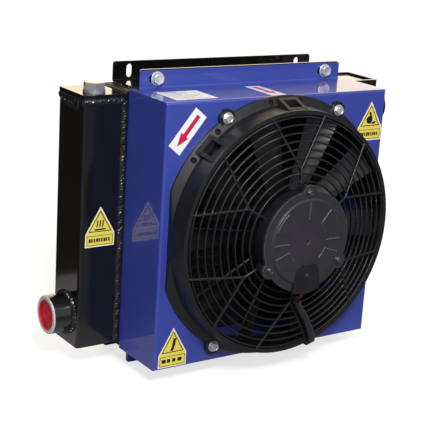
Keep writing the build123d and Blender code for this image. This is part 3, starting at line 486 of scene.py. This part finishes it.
# ---- Weld beads: overlapping crescents along the tank seams, caps, ports and bracket ends ------
weld_step = 0.7 * mm
weld_root = 0.5 * mm
tank_corner = 3.5 * mm
cap_drop = 9 * mm  # from a cap's outer face to the middle of the bead under it
loop_drop = 3.5 * mm  # from that bead to the middle of the loops over it
seam_shift = 5.2 * mm  # from the shroud's side to the middle of the tank's seam


def bead(build, track, width, height, ripple, seed, closed=False):
    """A weld bead along a track of (point, outward, sideways) frames that are a weld_step apart."""
    rows = []
    across = [v / 6 for v in range(-6, 7)]
    for i, (point, outward, sideways) in enumerate(track):
        ends = 1.0 if closed else min(1.0, (min(i, len(track) - 1 - i) + 0.5) * weld_step / (0.5 * width))
        full = sqrt(ends * (2 - ends))
        drift = 0.10 * width * wobble(seed, i * 0.045)
        half = 0.5 * width * full * (1 + 0.14 * wobble(seed + 1, i * 0.16))
        row = [point + sideways * (drift + half * v) - outward * weld_root for v in (1.0, -1.0)]
        for v in across:
            crescent = (i * weld_step / ripple + 0.42 * v * v + 0.12 * wobble(seed + 2, i * 0.1)) % 1.0
            scallop = 0.42 + 0.58 * sqrt(max(0.0, 1 - crescent ** 2.4))
            lump = 1 + 0.45 * wobble(seed + 3, i * 0.11 + v) + 0.40 * wobble(seed + 4, i * 0.37 + 2.3 * v)
            lift = height * full * scallop * lump * (1 - v * v) ** 0.65
            row.append(point + sideways * (drift + half * v) + outward * lift)
        rows.append(row)
    if closed:
        build.grid(rows, closed_rows=True)
    else:
        build.tube(rows)


def straight(start, end, outward, sideways):
    """A track along a straight line."""
    start, end = Vector(start), Vector(end)
    length = (end - start).length
    return [(start.lerp(end, d / length), outward, sideways) for d in steps(0, length, weld_step)]


def tank_track(side, z):
    """A track round a tank's three outer faces at a height, from its front seam to its back seam."""
    front, back = shell_low.y, shell_high.y
    inner, outer = side_x + seam_shift, tank_x - tank_corner
    up, across = Vector((0, 0, 1)), Vector((side, 0, 0))
    forward, rearward = Vector((0, -1, 0)), Vector((0, 1, 0))
    track = straight((side * inner, front, z), (side * outer, front, z), forward, up)
    front_corner, back_corner = front + tank_corner, back - tank_corner
    turns = steps(0, pi / 2, weld_step / tank_corner)
    for middle, start, end in ((front_corner, forward, across), (back_corner, across, rearward)):
        if middle == back_corner:
            ends = [(side * tank_x, y, z) for y in (front_corner, back_corner)]
            track += straight(*ends, across, up)[1:-1]
        for a in turns:
            out = start * cos(a) + end * sin(a)
            track.append((Vector((side * outer, middle, z)) + out * tank_corner, out, up))
    return track + straight((side * outer, back, z), (side * inner, back, z), rearward, up)[1:]


def looped(start, end, outward, loops, reach, rise):
    """A track that winds round in oval loops along a line, as a weaving torch leaves it."""
    start, end = Vector(start), Vector(end)
    along = (end - start).normalized()
    count = int(loops * pi * (reach + rise) / weld_step)
    points = []
    for i in range(count + 1):
        a = 2 * pi * loops * i / count
        swing = along * (reach * sin(a)) + outward.cross(along) * (rise * cos(a))
        points.append(start.lerp(end, i / count) + swing)
    ways = [(b - a).normalized() for a, b in zip(points, points[1:])]
    return [(p, outward, outward.cross(way)) for p, way in zip(points, ways)]


def port_track(side, port_z):
    """A closed track in the corner between a port's boss and its tank."""
    radius = (port_high.z - port_low.z) / 2 + 0.9 * mm
    along = Vector((side, 0, 0))
    frames = []
    for a in steps(0, 2 * pi, weld_step / radius)[:-1]:
        out = Vector((0, cos(a), sin(a)))
        frames.append((Vector((side * tank_x, port_y, port_z)) + out * radius + along * 0.4 * mm,
                       (out + along).normalized(), (out - along).normalized()))
    return frames


def weld_beads():
    """The beads of both tanks. The left tank has its cap at the top, and the right one at the bottom."""
    build = Build()
    forward, rearward, up = Vector((0, -1, 0)), Vector((0, 1, 0)), Vector((0, 0, 1))
    ends = (shell_low.z, tank_top)
    for side, capped, open_end in ((-1, 1, 0), (1, 0, 1)):
        across = Vector((side, 0, 0))
        level = ends[capped] + (cap_drop if capped == 0 else -cap_drop)
        bead(build, tank_track(side, level), width=8 * mm, height=1.9 * mm, ripple=3.6 * mm, seed=11 * side)
        inwards = loop_drop if capped == 0 else -loop_drop
        first = (side * (tank_x + 0.5 * mm), shell_low.y + 16 * mm, level + inwards)
        last = (side * (tank_x + 0.5 * mm), shell_high.y - 16 * mm, level + inwards)
        track = looped(first, last, across, loops=3.5, reach=11 * mm, rise=6.5 * mm)
        bead(build, track, width=2.6 * mm, height=1.7 * mm, ripple=2.4 * mm, seed=13 * side)
        x = side * (side_x + seam_shift)
        for y, out in ((shell_low.y, forward), (shell_high.y, rearward)):
            track = straight((x, y, ends[open_end]), (x, y, level), out, across)
            bead(build, track, width=9 * mm, height=1.8 * mm, ripple=3.4 * mm, seed=17 * side + y)
        track = port_track(side, left_face[2] if side < 0 else right_face[2])
        bead(build, track, width=9 * mm, height=3.2 * mm, ripple=5 * mm, seed=23 * side, closed=True)
        edge_x = side * (side_x + 1 * mm)
        out = up if capped else -up
        first, last = ((edge_x, y, ends[capped]) for y in (shell_low.y + 3 * mm, shell_high.y - 3 * mm))
        track = straight(first, last, out, across)
        bead(build, track, width=5.5 * mm, height=1.7 * mm, ripple=3.2 * mm, seed=31 * side)
        for z, out, number in ((bracket_low.z, up, 1), (lower_bracket_high.z, -up, 2)):
            end_x = side * (bracket_high.x + 0.5 * mm)
            slope = (out + across).normalized()
            for y in (shell_low.y + 6 * mm, shell_high.y - 26 * mm):
                track = straight((end_x, y, z), (end_x, y + 20 * mm, z), slope, (across - out).normalized())
                bead(build, track, width=6 * mm, height=2.2 * mm, ripple=3 * mm, seed=41 * side + number)
    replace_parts(build.done("weld_runs", [weld_paint]), "weld_beads")


# ---- Threaded fasteners: chamfered hexagons and cut threads in place of the CAD's plain ones ---
def thread(radius, pitch, depth, height, angle):
    """A thread's radius at a height along it and an angle round it."""
    phase = (height / pitch - angle / (2 * pi)) % 1.0
    return radius - depth * abs(2 * phase - 1)


def ring(centre, axis, radius_at, height, columns):
    """A row of points round an axis. Radius_at gives the radius at each angle."""
    across = axis.orthogonal().normalized()
    over = axis.cross(across)
    turns = [2 * pi * j / columns for j in range(columns)]
    return [centre + axis * height + (across * cos(a) + over * sin(a)) * radius_at(a) for a in turns]


def hexagon(flats, turn=0.0):
    """A hexagon's radius at each angle, from its width over the flats."""
    return lambda a: flats / 2 / cos((a + turn) % (pi / 3) - pi / 6)


def hexagon_side(centre, axis, flats, low, high, turn, columns=72):
    """Two rows round a hexagon, from low to a top edge that a 30 degree chamfer has cut at height high."""
    radius_at = hexagon(flats, turn)
    across = axis.orthogonal().normalized()
    over = axis.cross(across)
    bottom, top = [], []
    for j in range(columns):
        a = 2 * pi * j / columns
        radius = radius_at(a)
        spoke = centre + (across * cos(a) + over * sin(a)) * radius
        drop = (radius - 0.475 * flats) * tan(radians(30))
        bottom.append(spoke + axis * low)
        top.append(spoke + axis * (high - drop))
    return bottom, top


def bolt(build, seat, axis, flats, head, radius, pitch, length, turn):
    """A bolt whose head stands on its seat along the axis and whose threaded shank runs the other way."""
    columns = 72
    depth = 0.61 * pitch
    rows = []
    for h in steps(-length, -0.3 * mm, pitch / 5):
        tip_cut = depth * max(0.0, 1 - (h + length) / (1.2 * pitch))
        rows.append(ring(seat, axis, lambda a: thread(radius, pitch, depth, h, a) - tip_cut, h, columns))
    rows.append(ring(seat, axis, lambda a: radius, 0, columns))
    bottom, top = hexagon_side(seat, axis, flats, 0, head, turn)
    rows += [bottom, top]
    for share, sink in ((0.475, 0.0), (0.36, 0.05), (0.31, 0.45), (0.12, 0.5)):
        rows.append(ring(seat, axis, lambda a: share * flats, head - sink * mm, columns))
    build.tube(rows)


def nut(build, seat, axis, flats, height, radius, pitch, turn):
    """A nut on its seat, chamfered at its free end and threaded inside."""
    columns = 72
    bottom, top = hexagon_side(seat, axis, flats, 0, height, turn)
    rows = [bottom, top, ring(seat, axis, lambda a: 0.475 * flats, height, columns)]
    rows.append(ring(seat, axis, lambda a: radius + 0.6 * mm, height, columns))
    for h in steps(height - 0.6 * mm, 0.3 * mm, pitch / 5):
        rows.append(ring(seat, axis, lambda a: thread(radius + 0.35 * mm, pitch, 0.2 * mm, h, a), h, columns))
    build.grid(rows, closed_rows=True)


def axes_in(node, flats):
    """The axes of a node's four fasteners, from its box and their width over the flats."""
    low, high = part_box(node)
    inset_x, inset_z = flats / 2 / cos(pi / 6), flats / 2
    return [(x, z) for x in (low.x + inset_x, high.x - inset_x) for z in (low.z + inset_z, high.z - inset_z)]


def bolt_set(name, node, washers, flats, radius, pitch, turn):
    """A node's four bolts. Their heads stand on the washers and face forward."""
    build = Build()
    low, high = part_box(node)
    seat_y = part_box(washers)[0].y
    head, shank = seat_y - low.y, high.y - seat_y
    forward = Vector((0, -1, 0))
    for number, (x, z) in enumerate(axes_in(node, flats)):
        seat = Vector((x, seat_y, z))
        bolt(build, seat, forward, flats, head, radius, pitch, shank, turn + number)
    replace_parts(build.done(name, [bright_zinc]), node)


def nut_set(name, node, flats, radius, pitch, turn):
    """A node's four nuts, whose free ends face rearward."""
    build = Build()
    low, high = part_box(node)
    rearward = Vector((0, 1, 0))
    for number, (x, z) in enumerate(axes_in(node, flats)):
        seat = Vector((x, low.y, z))
        nut(build, seat, rearward, flats, high.y - low.y, radius, pitch, turn + number)
    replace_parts(build.done(name, [bright_zinc]), node)


def fastener_sets():
    """The bolts and nuts of the shroud's joint, and the fan's screws."""
    m8 = {"flats": 13 * mm, "radius": 4 * mm, "pitch": 1.25 * mm}
    m6 = {"flats": 10 * mm, "radius": 3 * mm, "pitch": 1.0 * mm}
    bolt_set("joint_bolt_heads", "joint_bolts", "joint_washers", turn=0.5, **m8)
    nut_set("joint_nut_set", "joint_nuts", turn=0.2, **m8)
    bolt_set("fan_screw_heads", "fan_screws", "fan_washers", turn=0.9, **m6)


# ---- Ports: painted bosses with a machined face and a cut G 1 1/4 thread ----------------------
thread_pitch = 2.309 * mm
thread_depth = 1.479 * mm
thread_major = 41.91 / 2 * mm
thread_minor = thread_major - thread_depth


def port_boss(name, node, side, face):
    """A port's boss about its axis, from a point on its face. The paint stops at the outer chamfer."""
    axis, centre, columns = Vector((side, 0, 0)), Vector(face), 96
    low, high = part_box(node)
    length, radius = high.x - low.x, (high.z - low.z) / 2
    chamfer = 1.5 * mm
    outside = [(-length, radius), (-0.5 * length, radius), (-chamfer - 0.2 * mm, radius), (-chamfer, radius),
               (-0.6 * mm, radius - 0.7 * mm), (0, radius - 1.3 * mm), (0, thread_minor + 0.6 * mm),
               (-0.6 * mm, thread_minor), (-2.6 * mm, thread_minor)]
    rows = [ring(centre, axis, lambda a: r, h, columns) for h, r in outside]
    cut = (thread_major, thread_pitch, thread_depth)
    for h in steps(-3 * mm, 0.8 * mm - length, thread_pitch / 7):
        rows.append(ring(centre, axis, lambda a: thread(*cut, h, a), h, columns))
    rows.append(ring(centre, axis, lambda a: thread_minor, -length, columns))
    painted = 3  # strips of the surface, from the tank to the chamfer
    build = Build()
    build.grid(rows, [0] * painted + [1] * (len(rows) - painted), closed_rows=True)
    face_metal = machined if side < 0 else machined_right
    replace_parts(build.done(name, [black_gloss, face_metal]), node)


# ---- Printed film: flow arrows, a rating label and three signs with plain generic marks -------
film = 0.12 * mm  # thickness of one layer


def plane_at(origin, right, up):
    """Maps (u, v, lift) in millimetres on a flat face to a point."""
    right, up = Vector(right), Vector(up)
    out = right.cross(up)
    return lambda u, v, lift: Vector(origin) + (right * u + up * v) * mm + out * lift


def slab(build, outline, place, mark, layer):
    """One printed layer as a thin solid over an outline."""
    levels = (film * (layer - 0.9), film * (layer + 0.1))
    build.tube([[place(u, v, level) for u, v in outline] for level in levels], mark, mark, mark)


def inset(outline, distance):
    """A convex outline, listed anticlockwise, moved inwards."""
    moved = []
    for before, point, after in zip(outline[-1:] + outline[:-1], outline, outline[1:] + outline[:1]):
        a = (Vector(point) - Vector(before)).normalized()
        b = (Vector(after) - Vector(point)).normalized()
        a, b = Vector((-a.y, a.x)), Vector((-b.y, b.x))
        moved.append(tuple(Vector(point) + (a + b) * distance / (1 + a.dot(b))))
    return moved


def line_round(build, outline, place, mark, layer, width):
    """A printed line that follows an outline, width wide and inside it."""
    inner = inset(outline, width)
    low, high = film * (layer - 0.9), film * (layer + 0.1)
    loops = [(outline, low), (outline, high), (inner, high), (inner, low)]
    build.grid([[place(u, v, lift) for u, v in loop] for loop, lift in loops], mark, closed_rows=True)


def bar(left, bottom, right, top, lean=0.0):
    """A bar's outline. Its top is moved sideways by lean."""
    return [(left, bottom), (right, bottom), (right + lean, top), (left + lean, top)]


def disc(x, y, radius, count=20):
    """A round outline."""
    turns = [2 * pi * k / count for k in range(count)]
    return [(x + radius * cos(a), y + radius * sin(a)) for a in turns]


def arrow_label(name, place, half_width, half_length):
    """A white label with a red arrow that points down the label."""
    build = Build()
    slab(build, bar(-half_width, -half_length, half_width, half_length), place, 0, 1)
    tip, shoulder, tail = -half_length * 0.80, -half_length * 0.22, half_length * 0.82
    shaft, wing = half_width * 0.28, half_width * 0.66
    arrow = [(0, tip), (wing, shoulder), (shaft, shoulder), (shaft, tail), (-shaft, tail), (-shaft, shoulder),
             (-wing, shoulder)]
    slab(build, arrow, place, 1, 2)
    build.done(name, [white_vinyl, red_ink])


sign_half = 20.5  # half the width, in millimetres
sign_eaves = 17.0  # height of the box under the triangle
sign_top = 52.0


def sign(name, place, symbol, dashes):
    """A yellow sign: a triangle with a plain symbol over a box with a row of dashes."""
    build = Build()
    lower_box = bar(-sign_half, 0, sign_half, sign_eaves)
    house = lower_box[:3] + [(0, sign_top)] + lower_box[3:]
    slab(build, house, place, 0, 1)
    slab(build, inset(house, 1.0), place, 1, 2)
    triangle = inset([(-sign_half, sign_eaves), (sign_half, sign_eaves), (0, sign_top)], 2.4)
    line_round(build, triangle, place, 2, 3, 1.1)
    line_round(build, inset(lower_box, 2.2), place, 2, 3, 0.6)
    for outline in symbol:
        slab(build, outline, place, 2, 3)
    margin = 5
    pitch = 2 * (sign_half - margin) / dashes
    for k in range(dashes):
        left = -sign_half + margin + k * pitch
        slab(build, bar(left, 6.2, left + pitch * (0.62 if k % 3 else 0.8), 11), place, 2, 3)
    build.done(name, [white_vinyl, yellow_vinyl, black_ink])


def rating_label(place):
    """A white label with a short bar over six plain lines."""
    half_width, half_depth, line_start, line_pitch, line_height = 29.5, 24.5, -26, 6.2, 2.2
    build = Build()
    slab(build, bar(-half_width, -half_depth, half_width, half_depth), place, 0, 1)
    for k, line_end in enumerate((22, 3, 12, 20, -3, 9)):
        bottom = -20 + line_pitch * k
        slab(build, bar(line_start, bottom, line_end, bottom + line_height), place, 1, 2)
    slab(build, bar(line_start, 17.5, -3, 22), place, 1, 2)
    build.done("rating_label", [paper, grey_ink])


def labels():
    """The printed film. The signs are placed by the middle of their lower edge."""
    right, up, rear = (1, 0, 0), (0, 0, 1), (0, 1, 0)
    heading = radians(231)
    down = Vector((cos(heading), 0, sin(heading)))
    sideways = Vector((sin(heading), 0, -cos(heading)))
    place = plane_at(on_face(-139 * mm, 134 * mm), -sideways, -down)
    arrow_label("flow_label", place, half_width=10.2, half_length=28.5)
    top_y = face_y + 36 * mm
    place = plane_at((-2 * mm, top_y, shroud_top), right, rear)
    arrow_label("top_flow_label", place, half_width=11.2, half_length=30.5)
    rating_label(plane_at((-120 * mm, top_y, shroud_top), right, rear))

    knot = [disc(-1.5, 27.5, 5.2), bar(0, 30, 3.4, 38, -3.2), bar(2, 22, 8, 25, 2)]
    stripes = [bar(x - 0.9, 25.5, x + 0.9, 34.5, 1.2) for x in (-4.5, -0.6, 3.3)] + [bar(-8, 21.5, 8, 23.5)]
    slant = [bar(-3.6, 21.5, 0.4, 30, 3.2), bar(-1.2, 29, 3.0, 38, 1.6)]
    sign("right_sign", plane_at(on_face(147 * mm, 103 * mm), right, up), knot, 9)
    sign("lower_sign", plane_at(on_face(-143.5 * mm, -167.5 * mm), right, up), slant, 4)
    tank_front = Vector((-204 * mm, shell_low.y, axis_z - 27.5 * mm))
    sign("tank_sign", plane_at(tank_front, right, up), stripes, 9)


cooling_fins()
weld_beads()
fastener_sets()
port_boss("left_port_boss", "left_port", -1, left_face)
port_boss("right_port_boss", "right_port", 1, right_face)
labels()


# ---- Camera, floor and light --------------------------------------------------------------
def camera():
    """The viewpoint: from the front left, a little above, with a long lens."""
    place = Vector((-0.9185, -1.2354, 0.6358))
    forward = Vector((0.55846, 0.77812, -0.28749))
    up = Vector((0.11167, 0.27290, 0.95554))
    right = forward.cross(up).normalized()
    lens = bpy.data.cameras.new("camera")
    lens.lens = 103.54
    lens.shift_x = -0.0515
    lens.shift_y = 0.0440
    made = bpy.data.objects.new("camera", lens)
    turn = Matrix((right, right.cross(forward), -forward)).transposed()
    made.matrix_world = Matrix.Translation(place) @ turn.to_4x4()
    bpy.context.scene.collection.objects.link(made)
    bpy.context.scene.camera = made


def soft_box(name, place, target, size, power):
    """An area light turned to its target."""
    light = bpy.data.lights.new(name, "AREA")
    light.shape = "RECTANGLE"
    light.size, light.size_y = size
    light.energy = power
    made = bpy.data.objects.new(name, light)
    made.location = place
    made.rotation_euler = (Vector(target) - Vector(place)).to_track_quat("-Z", "Y").to_euler()
    bpy.context.scene.collection.objects.link(made)


def inside(look, low, high):
    """A mask that is 1 in a rectangle of the floor, from its low corner to its high corner."""
    mask = None
    for axis, start, end in (("X", low[0], high[0]), ("Y", low[1], high[1])):
        distance = look.math("ABSOLUTE", look.math("SUBTRACT", look.along(axis), (start + end) / 2))
        within = look.span(distance, (end - start) / 2, (end - start) / 2 - 20 * mm)
        mask = within if mask is None else look.math("MULTIPLY", mask, within)
    return mask


def floor():
    """Pale floor. Reflections see it only as a table under the cooler, in a dark room."""
    floor_size = 6.0
    table_low, table_high = (-0.45, -0.15), (0.60, 0.40)
    beyond, on_table, in_front = (0.030, 0.022, 0.018, 1), (0.46, 0.44, 0.45, 1), grey(0.12)
    look = Look("floor", roughness=0.6)
    reflected = look.mix(inside(look, table_low, table_high), beyond, on_table)
    reflected = look.mix(look.span(look.along("Y"), -0.02, -0.14), reflected, in_front)
    path = look.node("ShaderNodeLightPath").outputs["Is Camera Ray"]
    look.set(base_color=look.mix(path, reflected, grey(0.42)))
    look.set(emission_color=grey(1.0), emission_strength=look.math("MULTIPLY", path, 0.72))
    look.set(normal=look.bump(look.noise(3 * mm, 3), 0.05, 0.05 * mm))
    mesh = bpy.data.meshes.new("floor")
    corners = [(x * floor_size, y * floor_size, 0) for x, y in ((-1, -1), (1, -1), (1, 1), (-1, 1))]
    mesh.from_pydata(corners, [], [(0, 1, 2, 3)])
    mesh.materials.append(look.material)
    ground = bpy.data.objects.new("floor", mesh)
    bpy.context.scene.collection.objects.link(ground)


def room():
    """White behind the cooler. Its light is a soft grey front and a warm glow low at the back."""
    world = bpy.data.worlds.new("studio")
    bpy.context.scene.world = world
    world.use_nodes = True
    nodes, links = world.node_tree.nodes, world.node_tree.links

    def node(kind, **settings):
        made = nodes.new(kind)
        for key, value in settings.items():
            setattr(made, key, value)
        return made

    way = node("ShaderNodeTexCoord").outputs["Generated"]

    def toward(direction, low, high):
        """From 0 to 1 as a ray's direction turns towards the given one."""
        product = node("ShaderNodeVectorMath", operation="DOT_PRODUCT")
        product.inputs[1].default_value = Vector(direction).normalized()
        links.new(way, product.inputs[0])
        ramp = node("ShaderNodeMapRange", interpolation_type="SMOOTHSTEP")
        ramp.inputs["From Min"].default_value, ramp.inputs["From Max"].default_value = low, high
        links.new(product.outputs["Value"], ramp.inputs["Value"])
        return ramp.outputs["Result"]

    def mixed(share, a, b):
        made = node("ShaderNodeMix", data_type="RGBA")
        links.new(share, made.inputs[0])
        for socket, value in ((made.inputs[6], a), (made.inputs[7], b)):
            if isinstance(value, tuple):
                socket.default_value = value
            else:
                links.new(value, socket)
        return made.outputs[2]

    dark, soft_front, glow = (0.020, 0.016, 0.014, 1), (0.60, 0.61, 0.66, 1), (1.9, 1.62, 1.22, 1)
    light = mixed(toward((-0.20, -1.0, 0.75), 0.0, 0.80), dark, soft_front)
    light = mixed(toward((0.558, 0.778, 0.287), 0.80, 0.93), light, glow)
    camera_ray = node("ShaderNodeLightPath").outputs["Is Camera Ray"]
    links.new(mixed(camera_ray, light, (1, 1, 1, 1)), nodes["Background"].inputs["Color"])


def studio():
    """The floor, the room and two soft boxes at the front."""
    floor()
    room()
    middle = (0, 0, axis_z)
    soft_box("key", (-0.72, -1.45, 1.45), middle, (0.5, 0.4), 36)
    soft_box("side", (-1.1, -0.3, 1.2), middle, (0.4, 0.4), 0.4)


camera()
studio()
bpy.context.scene.view_settings.view_transform = "Standard"
